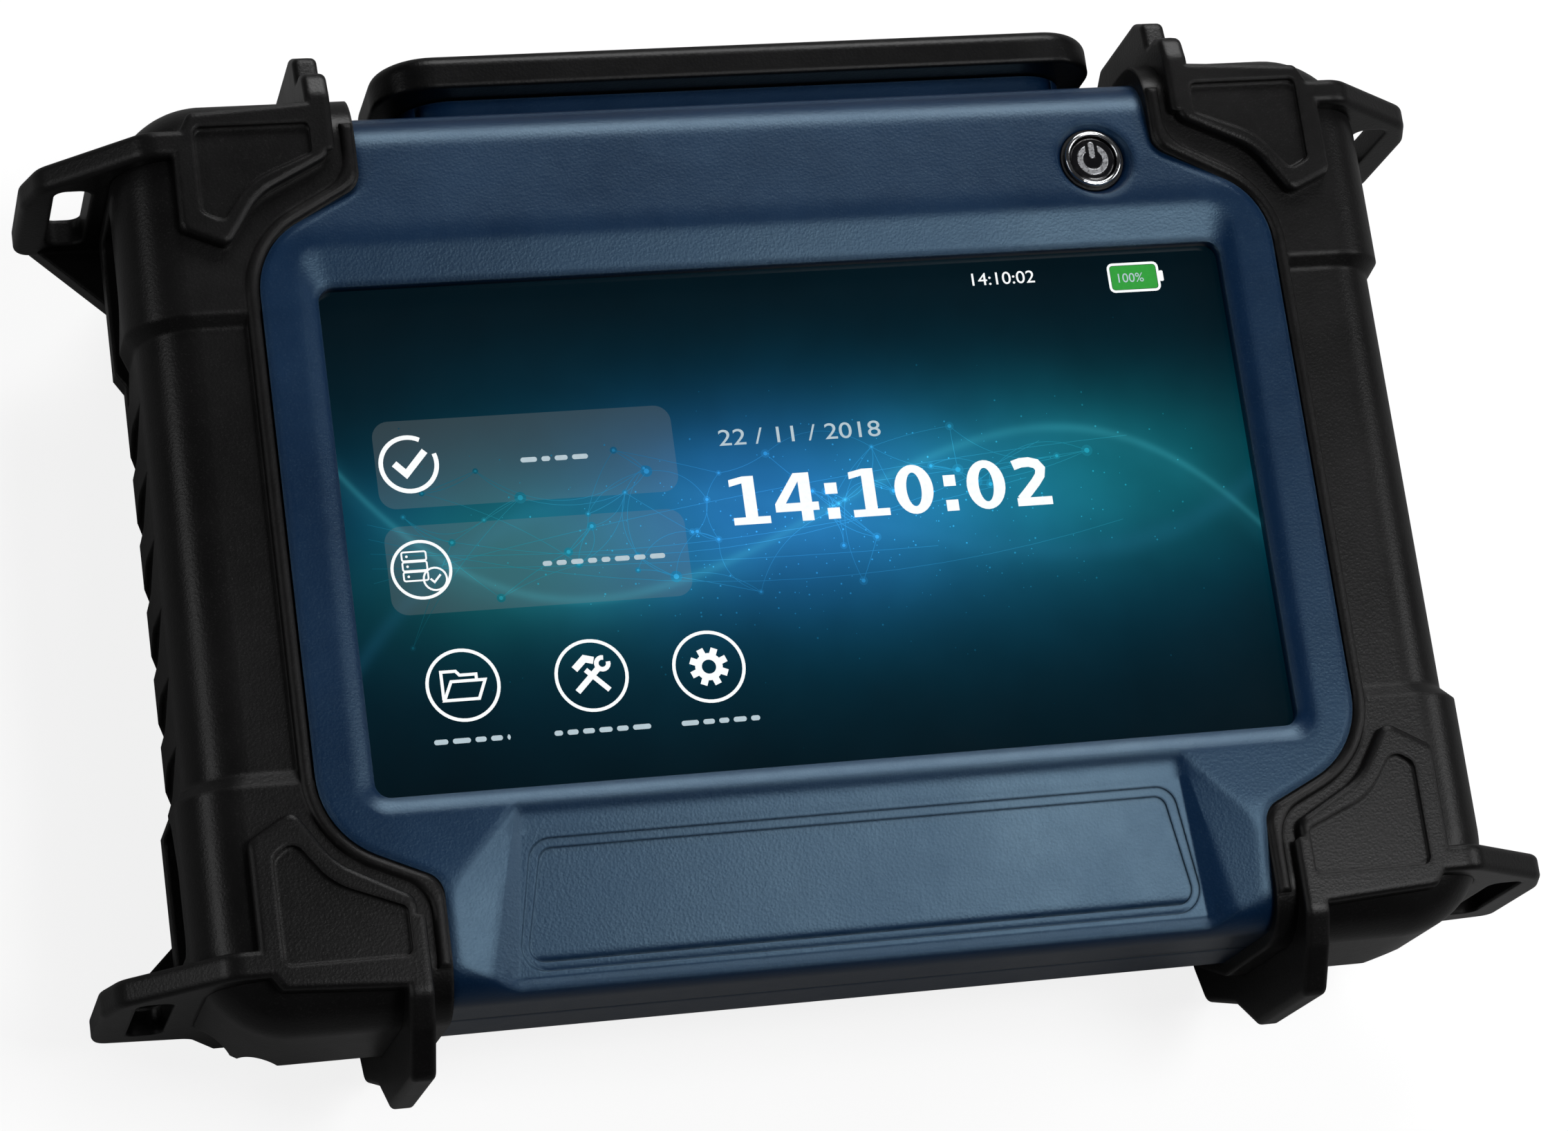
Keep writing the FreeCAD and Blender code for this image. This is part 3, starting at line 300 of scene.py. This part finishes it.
def screen_material(name, veil=None, boost=1.0):
    """Glossy panel showing the tester's home picture.

    veil adds a pale translucent layer; boost brightens the picture, for threads and dots of light.
    """
    material, tree, shader = blank(name)
    where = position(tree)
    axes = add(tree, "ShaderNodeSeparateXYZ", {0: where}).outputs
    ripple = noise(tree, where, 55.0, 3.0)
    picture = (0.0002, 0.0040, 0.0066)
    lights = [glow(tree, axes[0], axes[1], *oval) for oval in GLOWS]
    lights += [wave_light(tree, axes[0], axes[1], *band) for band in WAVES]
    for light in lights:
        picture = add(tree, "ShaderNodeVectorMath", {0: light, 1: picture}, operation="ADD").outputs[0]
    shade = spread(tree, ripple, 0.3, 0.7, 0.88 * boost, 1.12 * boost)
    picture = add(tree, "ShaderNodeVectorMath", {0: picture, "Scale": shade}, operation="SCALE").outputs[0]
    if veil:
        picture = mix(tree, veil, picture, (0.19, 0.24, 0.25))
    tree.links.new(picture, shader.inputs["Emission Color"])
    smear = noise(tree, where, 24.0, 6.0, 0.65)
    tree.links.new(spread(tree, smear, 0.3, 0.75, 0.05, 0.14), shader.inputs["Roughness"])
    glass = mix(tree, smear, (0.001, 0.0012, 0.0015), (0.003, 0.0032, 0.0036))
    tree.links.new(glass, shader.inputs["Base Color"])
    settle(shader, Emission_Strength=1.0, Specular_IOR_Level=0.1)
    return material


def lit_ink(name, colour, strength=1.0):
    """Artwork that glows on the screen, slightly uneven like a lit panel."""
    material, tree, shader = blank(name)
    grain = noise(tree, position(tree), 1400.0, 2.0)
    faded = tuple(c * INK_DIM for c in colour)
    tree.links.new(mix(tree, grain, faded, colour), shader.inputs["Emission Color"])
    body = mix(tree, grain, (0.002, 0.002, 0.002), (0.01, 0.01, 0.01))
    tree.links.new(body, shader.inputs["Base Color"])
    settle(shader, Emission_Strength=strength, Roughness=0.12, Specular_IOR_Level=0.2)
    return material


BLUE = moulded("blue_moulding", (0.0014, 0.0120, 0.0400), (0.0026, 0.0175, 0.054),
               (0.045, 0.085, 0.125), 0.32, 3400.0, 0.00003, wear_and_highlight=0.5, soft=0.0024,
               Specular_IOR_Level=0.5, Specular_Tint=(0.50, 0.78, 1.0, 1.0))
# the rubber's wider edge radius widens its lighter edges, which are partly wear and partly a painted edge
# highlight
RUBBER = moulded("black_rubber_skin", (0.0040, 0.0039, 0.0040), (0.0062, 0.0060, 0.0062),
                 (0.035, 0.034, 0.034), 0.33, 3400.0, 0.00004, wear_and_highlight=0.6, radius=0.0010,
                 Specular_IOR_Level=0.2)
LID_RUBBER = moulded("port_cover_skin", (0.002, 0.002, 0.0022), (0.003, 0.003, 0.0032),
                     (0.02, 0.02, 0.02), 0.33, 3000.0, 0.00004, wear_and_highlight=0.5, radius=0.0007,
                     Specular_IOR_Level=0.2)
BLACK = moulded("black_moulding", (0.006, 0.006, 0.0065), (0.01, 0.01, 0.0105),
                (0.05, 0.05, 0.052), 0.45, 2200.0, 0.00006, wear_and_highlight=0.5, Specular_IOR_Level=0.35)
GLOSS = moulded("button_gloss_black", (0.004, 0.004, 0.005), (0.008, 0.008, 0.009),
                (0.05, 0.05, 0.05), 0.16, 1200.0, 0.00001, wear_and_highlight=0.3, radius=0.0003,
                Coat_Weight=0.6)
STEEL = metal("brushed_steel_skin", (0.50, 0.50, 0.52), 0.32, ACROSS)
NICKEL = metal("nickel_shell", (0.56, 0.54, 0.50), 0.24, ALONG)
CHROME = metal("chrome_ring", (0.72, 0.73, 0.75), 0.14, scratch=300.0, coat=0.3)
ZINC = metal("zinc_screw_heads", (0.40, 0.40, 0.42), 0.35, scratch=1500.0)
SILVER = metal("silver_mark", (0.70, 0.71, 0.74), 0.3, scratch=2000.0)
BOARD = board_material()
SCREEN = screen_material("touch_screen")
PANEL = moulded("display_module", (0.01, 0.011, 0.012), (0.015, 0.016, 0.018), (0.1, 0.1, 0.1),
                0.2, 900.0, 0.00002)

FINISH = {
    "blue_plastic": BLUE,
    "black_rubber": RUBBER,
    "screen_glass": SCREEN,
    "display": PANEL,
    "black_plastic": BLACK,
    "steel": STEEL,
    "chrome": CHROME,
    "zinc_screw": ZINC,
    "circuit_board": BOARD,
    "nickel": NICKEL,
    "button_gloss": GLOSS,
    "mark_silver": SILVER,
}
OWN = {"port_cover": LID_RUBBER}


def paint_frame():
    """Gives every CAD node the finish of its material slot, or its own."""
    for part in frame["record"]["subparts"]:
        node = NODES[part["node"]]
        material = OWN.get(part["node"], FINISH[part["material_slot"]])
        for place in node.material_slots:
            place.material = material


# ---- flat artwork on the screen ------------------------------------------------------------

GLASS_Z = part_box("touch_glass")[1].z / MM


def on_screen(name, data, material):
    """Puts a mesh of screen artwork in the scene, riding on the case."""
    piece = bpy.data.objects.new(name, data)
    bpy.context.scene.collection.objects.link(piece)
    data.materials.append(material)
    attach(piece, "case")


class Art:
    """Thin closed plates on the glass, collected into one piece. Sizes are in millimetres."""

    def __init__(self, rise):
        self.mesh = bmesh.new()
        self.low, self.high = GLASS_Z - SINK, GLASS_Z + rise

    def plate(self, loop):
        """A filled outline."""
        top = [self.mesh.verts.new((x * MM, y * MM, self.high * MM)) for x, y in loop]
        low = [self.mesh.verts.new((x * MM, y * MM, self.low * MM)) for x, y in loop]
        self.mesh.faces.new(top)
        self.mesh.faces.new(low[::-1])
        for i in range(len(loop)):
            j = (i + 1) % len(loop)
            self.mesh.faces.new((top[j], top[i], low[i], low[j]))

    def line(self, points, width, closed=False):
        """A stroke of constant width with mitred corners."""
        count = len(points)
        sides = []
        for i, here in enumerate(points):
            before = points[i - 1] if closed or i else points[i]
            after = points[(i + 1) % count] if closed or i < count - 1 else points[i]
            a = Vector((here[0] - before[0], here[1] - before[1]))
            b = Vector((after[0] - here[0], after[1] - here[1]))
            a = a.normalized() if a.length else b.normalized()
            b = b.normalized() if b.length else a
            across = Vector((-(a.y + b.y), a.x + b.x))
            across = across.normalized() if across.length > 1e-6 else Vector((-a.y, a.x))
            stretch = max(0.5, across.dot(Vector((-a.y, a.x))))
            across *= width / 2 / stretch
            left = (here[0] + across.x, here[1] + across.y)
            right = (here[0] - across.x, here[1] - across.y)
            sides.append((left, right))
        rings = self.sections(sides)
        self.skin(rings, count if closed else count - 1)
        if not closed:
            self.mesh.faces.new(rings[0][::-1])
            self.mesh.faces.new(rings[-1])

    def ring(self, outer, inner):
        """A closed band between two loops with as many points each."""
        rings = self.sections(zip(outer, inner))
        self.skin(rings, len(rings))

    def sections(self, sides):
        """Four-cornered sections, one for each pair of points on the two sides of a band."""
        rings = []
        for left, right in sides:
            corners = ((left, self.high), (right, self.high), (right, self.low), (left, self.low))
            rings.append([self.mesh.verts.new((x * MM, y * MM, z * MM)) for (x, y), z in corners])
        return rings

    def skin(self, rings, spans):
        """Walls between each section and the next, for the given number of spans."""
        for i in range(spans):
            a, b = rings[i], rings[(i + 1) % len(rings)]
            for k in range(4):
                m = (k + 1) % 4
                self.mesh.faces.new((a[k], a[m], b[m], b[k]))

    def done(self, name, material):
        """The finished piece, riding on the case."""
        bmesh.ops.recalc_face_normals(self.mesh, faces=self.mesh.faces)
        data = bpy.data.meshes.new(name)
        self.mesh.to_mesh(data)
        self.mesh.free()
        on_screen(name, data, material)


# outlines of the heavy clock digits, as shares of their height
STROKES = {
    "1": [
        [(0.13, 0.0), (0.88, 0.0), (0.88, 0.15), (0.63, 0.15), (0.63, 1.0), (0.40, 1.0),
         (0.12, 0.94), (0.12, 0.80), (0.38, 0.86), (0.38, 0.15), (0.13, 0.15)],
    ],
    "4": [
        [(0.57, 0.0), (0.81, 0.0), (0.81, 1.0), (0.57, 1.0)],
        [(0.05, 0.21), (0.94, 0.21), (0.94, 0.38), (0.05, 0.38)],
        [(0.05, 0.38), (0.27, 0.38), (0.60, 0.87), (0.60, 1.0), (0.49, 1.0)],
    ],
    ":": [
        [(0.15, 0.0), (0.40, 0.0), (0.40, 0.23), (0.15, 0.23)],
        [(0.15, 0.52), (0.40, 0.52), (0.40, 0.75), (0.15, 0.75)],
    ],
}
TWO = [(0.13, 0.86), (0.30, 0.91), (0.47, 0.915), (0.62, 0.87), (0.70, 0.76), (0.67, 0.62),
       (0.56, 0.48), (0.38, 0.29), (0.22, 0.13)]
TWO_FOOT = [(0.13, 0.0), (0.86, 0.0), (0.86, 0.17), (0.13, 0.17)]
ZERO_OUTER = (0.40, 0.515)  # half width and half height of the nought
ZERO_INNER = (0.155, 0.355)
DIGIT_STEP = 0.955
COLON_STEP = 0.55


def bold_digits(name, text, x, y, size, material):
    """Heavy clock digits drawn as plates, in the outlines above."""
    art = Art(RAISE_MARK)
    for letter in text:
        if letter == "0":
            loops = []
            for wide, high in (ZERO_OUTER, ZERO_INNER):
                loops.append([(x + size * (0.475 + wide * u), y + size * (0.5 + high * v))
                              for u, v in circle(0, 0, 1.0, 32)])
            art.ring(*loops)
        elif letter == "2":
            art.line([(x + size * u, y + size * v) for u, v in TWO], size * 0.20)
            art.plate([(x + size * u, y + size * v) for u, v in TWO_FOOT])
        else:
            for loop in STROKES[letter]:
                art.plate([(x + size * u, y + size * v) for u, v in loop])
        x += size * (COLON_STEP if letter == ":" else DIGIT_STEP)
    art.done(name, material)


def circle(cx, cy, r, count=48, start=0.0, turn=360.0):
    """Points on a circle, or on an arc from start through turn degrees."""
    steps = count if turn >= 360.0 else count + 1
    return [(cx + r * math.cos(math.radians(start + turn * i / count)),
             cy + r * math.sin(math.radians(start + turn * i / count))) for i in range(steps)]


def rounded(x0, y0, x1, y1, r, count=8):
    """Outline of a rectangle with rounded corners."""
    loop = []
    loop += circle(x1 - r, y1 - r, r, count, 0, 90.0)
    loop += circle(x0 + r, y1 - r, r, count, 90, 90.0)
    loop += circle(x0 + r, y0 + r, r, count, 180, 90.0)
    loop += circle(x1 - r, y0 + r, r, count, 270, 90.0)
    return loop


WHITE = lit_ink("ui_white", (0.96, 0.99, 1.0), 1.1)
PALE = lit_ink("ui_pale", (0.50, 0.62, 0.68))
GREEN = lit_ink("ui_green", (0.035, 0.36, 0.05))
VEIL = screen_material("ui_button_veil", 0.16)
THREAD = screen_material("ui_thread_light", boost=1.7)
HALO = screen_material("ui_halo_light", boost=1.3)
SPARK = screen_material("ui_spark_light", boost=2.4)


def check_mark(art, cx, cy, size, width):
    """A tick."""
    corners = ((-0.52, 0.05), (-0.12, -0.36), (0.62, 0.46))
    art.line([(cx + size * u, cy + size * v) for u, v in corners], width)


def screen_buttons():
    """The two wide buttons, one with a tick in a ring, one with a cabinet of drawers."""
    plates = Art(RAISE_VEIL)
    for y0 in (5.3, -12.7):
        plates.plate(rounded(-71.5, y0, -21.5, y0 + 15.0, 2.8))
    plates.done("ui_button_plates", VEIL)
    marks = Art(RAISE_MARK)
    marks.line(circle(-66.0, 12.8, 4.6, 40, 62.0, 318.0), 0.75)
    check_mark(marks, -66.0, 12.8, 4.6, 1.15)
    marks.line(circle(-66.0, -5.2, 4.8), 0.5, True)
    for i in range(3):
        y = -4.9 + 1.7 * i
        marks.line(rounded(-69.0, y - 2.1, -65.0, y - 0.6, 0.3, 3), 0.28, True)
        marks.plate(circle(-68.2, y - 1.35, 0.22, 8))
    marks.line(circle(-63.9, -6.9, 1.9, 24), 0.32, True)
    check_mark(marks, -63.9, -6.9, 1.5, 0.34)
    marks.done("ui_button_marks", WHITE)


def folder_mark(art, cx, cy):
    """An open folder."""
    art.line([(cx - 3.4, cy - 2.3), (cx - 3.4, cy + 2.4), (cx - 1.0, cy + 2.4), (cx - 0.4, cy + 1.7),
              (cx + 2.3, cy + 1.7), (cx + 2.3, cy + 0.8)], 0.5)
    art.line([(cx - 3.3, cy - 2.4), (cx - 1.9, cy + 0.7), (cx + 3.7, cy + 0.7),
              (cx + 2.4, cy - 2.4)], 0.5, True)


def tools_mark(art, cx, cy):
    """A crossed hammer and spanner."""
    art.line([(cx - 2.6, cy - 2.6), (cx + 1.3, cy + 1.2)], 1.0)
    art.line([(cx + 2.7, cy - 2.6), (cx - 0.9, cy + 1.0)], 0.85)
    art.line([(cx - 2.7, cy + 1.2), (cx - 0.9, cy + 2.9), (cx + 0.6, cy + 2.5)], 1.2)
    art.line(circle(cx + 2.0, cy + 1.9, 1.0, 14, 75.0, 300.0), 0.75)


def gear_mark(art, cx, cy):
    """A gear wheel with eight teeth."""
    art.line(circle(cx, cy, 1.75, 32), 1.1, True)
    for i in range(8):
        a = math.radians(22.5 + 45.0 * i)
        c, s = math.cos(a), math.sin(a)
        art.line([(cx + 2.1 * c, cy + 2.1 * s), (cx + 3.25 * c, cy + 3.25 * s)], 1.15)


def round_buttons():
    """The row of three ringed buttons."""
    art = Art(RAISE_ROUND)
    for x, draw in ((-61.5, folder_mark), (-40.3, tools_mark), (-20.7, gear_mark)):
        art.line(circle(x, -25.0, 5.85), 0.55, True)
        draw(art, x, -25.0)
    art.done("ui_round_buttons", WHITE)


def caption_bars():
    """Plain rounded bars where the screen shows words."""
    art = Art(RAISE_MARK)
    for y, words in ((12.3, ((-47.5, -35.5),)), (-5.6, ((-46.0, -25.5),)),
                     (-34.2, ((-67.3, -54.8), (-47.6, -31.6), (-26.5, -12.7)))):
        for x0, x1 in words:
            x = x0
            while x < x1 - 0.5:
                end = min(x1, x + random.uniform(1.3, 3.1))
                art.plate(rounded(x, y - 0.42, end, y + 0.42, 0.4, 4))
                x = end + 0.75
    art.done("ui_caption_bars", PALE)


def digits(name, text, x, y, height, material, width=1.0):
    """Number text turned into a thin closed mesh on the glass."""
    curve = bpy.data.curves.new(name, "FONT")
    curve.body = text
    curve.size = height / 0.73 * MM
    curve.extrude = 0.02 * MM
    curve.resolution_u = 6
    holder = bpy.data.objects.new(name + "_text", curve)
    bpy.context.scene.collection.objects.link(holder)
    bpy.context.view_layer.update()
    data = bpy.data.meshes.new_from_object(holder)
    bpy.data.objects.remove(holder)
    data.name = name
    place = Matrix.Translation((x * MM, y * MM, (GLASS_Z + RAISE_FILL) * MM))
    data.transform(place @ Matrix.Diagonal((width, 1.0, 1.0, 1.0)))
    data.materials.clear()
    on_screen(name, data, material)


def battery_icon():
    """A full battery with its charge in digits."""
    outline = Art(RAISE_MARK)
    outline.line(rounded(58.3, 35.7, 67.1, 40.6, 0.8, 4), 0.42, True)
    outline.plate(rounded(67.3, 37.2, 68.0, 39.1, 0.2, 3))
    outline.done("ui_battery_outline", WHITE)
    fill = Art(RAISE_FILL)
    fill.plate(rounded(58.6, 36.0, 66.8, 40.3, 0.5, 4))
    fill.done("ui_battery_fill", GREEN)
    digits("ui_battery_digits", "100%", 59.4, 37.3, 1.7, PALE)


def bow(a, b, lift):
    """A shallow arc from a to b that rises by lift of its length in the middle."""
    (ax, ay), (bx, by) = a, b
    points = []
    for i in range(ARC_STEPS + 1):
        t = i / ARC_STEPS
        rise = lift * 4.0 * t * (1.0 - t)
        x = ax + (bx - ax) * t - (by - ay) * rise
        y = ay + (by - ay) * t + (bx - ax) * rise
        points.append((x, y))
    return points


def network():
    """Fine glowing threads, sparks and specks behind the picture's text."""
    threads, halos, sparks = Art(RAISE_THREAD), Art(RAISE_HALO), Art(RAISE_SPARK)
    stars = []
    while len(stars) < STARS:
        x = random.gauss(-8.0, 36.0)
        if abs(x) < 73.0:
            stars.append((x, random.gauss(0.05 * x, 8.5)))
    for a in stars:
        near = sorted(stars, key=lambda b: (b[0] - a[0]) ** 2 + 2.0 * (b[1] - a[1]) ** 2)
        threads.line(bow(a, near[2], random.uniform(-0.12, 0.12)), 0.09)
        threads.line(bow(a, random.choice(near[3:12]), random.uniform(-0.2, 0.2)), 0.07)
        size = random.choice((0.22, 0.28, 0.34, 0.45))
        sparks.plate(circle(a[0], a[1], size, 14))
        halos.plate(circle(a[0], a[1], size * 2.2, 20))
    for _ in range(SPECKS):
        x = random.gauss(6.0, 34.0)
        if abs(x) < 74.0:
            y = random.gauss(-2.0, 11.0)
            sparks.plate(circle(x, y, random.choice((0.07, 0.09, 0.12, 0.16)), 6))
    for k in range(TRAILS):
        start = (-74.0, 3.0 - 2.5 * k)
        end = (random.uniform(20.0, 70.0), random.uniform(-8.0, 10.0))
        threads.line(bow(start, end, -0.10 + 0.03 * k), 0.07)
    halos.done("ui_halos", HALO)
    threads.done("ui_threads", THREAD)
    sparks.done("ui_sparks", SPARK)


def screen_picture():
    """All the artwork on the screen."""
    random.seed(7)
    network()
    screen_buttons()
    round_buttons()
    caption_bars()
    bold_digits("ui_clock", "14:10:02", -14.2, -1.3, 8.35, WHITE)
    digits("ui_small_clock", "14:10:02", 33.2, 38.2, 2.3, WHITE, 1.1)
    digits("ui_date", "22 / 11 / 2018", -14.0, 12.6, 2.9, PALE, 1.25)
    battery_icon()


# ---- floor, light and camera ---------------------------------------------------------------

FLOOR_HALF = 3.0  # metres
FLOOR_DROP = 0.0002
FLOOR_LIGHT = 0.84  # brightness the floor shows the camera, without lighting the object

# studio lights: name, place in metres, size in metres, power in watts; all face the origin
LIGHTS = [
    ("top_softbox", (0.35, 1.20, 0.75), (0.9, 0.4), 12.5),
    ("main_softbox", (0.40, -0.12, 1.08), (0.42, 0.3), 4.8),
    ("right_softbox", (1.15, 0.0, 0.80), (0.6, 0.4), 4.5),
    ("left_softbox", (-1.1, 0.0, 0.60), (0.8, 0.25), 3.0),
]


def floor():
    """A plain pale sheet under the object."""
    mesh = bmesh.new()
    bmesh.ops.create_grid(mesh, x_segments=8, y_segments=8, size=FLOOR_HALF)
    data = bpy.data.meshes.new("floor")
    mesh.to_mesh(data)
    mesh.free()
    sheet = bpy.data.objects.new("floor", data)
    sheet.location.z = CAD_BOX[0].z - FLOOR_DROP
    bpy.context.scene.collection.objects.link(sheet)
    material, tree, shader = blank("floor_white")
    cloud = noise(tree, position(tree), 3.0)
    paint = mix(tree, cloud, (0.22, 0.22, 0.22), (0.25, 0.25, 0.25))
    tree.links.new(paint, shader.inputs["Base Color"])
    seen = add(tree, "ShaderNodeLightPath").outputs["Is Camera Ray"]
    shown = math_node(tree, "MULTIPLY", seen, FLOOR_LIGHT)
    tree.links.new(shown, shader.inputs["Emission Strength"])
    settle(shader, Roughness=0.9, Specular_IOR_Level=0.1, Emission_Color=(1.0, 1.0, 1.0, 1.0))
    data.materials.append(material)


def softbox(name, place, size, power):
    """A rectangular area light that faces the origin."""
    data = bpy.data.lights.new(name, "AREA")
    data.shape = "RECTANGLE"
    data.size, data.size_y = size
    data.energy = power
    lamp = bpy.data.objects.new(name, data)
    lamp.location = place
    lamp.rotation_euler = (-Vector(place)).to_track_quat("-Z", "Y").to_euler()
    bpy.context.scene.collection.objects.link(lamp)


def studio():
    """A dim white surround and the softboxes."""
    world = bpy.data.worlds.new("studio")
    bpy.context.scene.world = world
    world.use_nodes = True
    ground = world.node_tree.nodes["Background"]
    ground.inputs[0].default_value = (1.0, 1.0, 1.0, 1.0)
    ground.inputs[1].default_value = 0.03
    for light in LIGHTS:
        softbox(*light)


def camera():
    """A long lens high above the front left of the object."""
    data = bpy.data.cameras.new("photo_camera")
    data.sensor_width = 36.0
    data.lens = 104.18
    data.shift_x, data.shift_y = 0.01299, 0.05603
    data.clip_start, data.clip_end = 0.05, 20.0
    eye = bpy.data.objects.new("photo_camera", data)
    eye.location = (-0.1900, -0.2100, 0.7529)
    eye.rotation_euler = [math.radians(angle) for angle in (16.350, -12.261, -7.873)]
    bpy.context.scene.collection.objects.link(eye)
    bpy.context.scene.camera = eye


bpy.context.scene.view_settings.view_transform = "Standard"
camera()
studio()
floor()
paint_frame()
screen_picture()
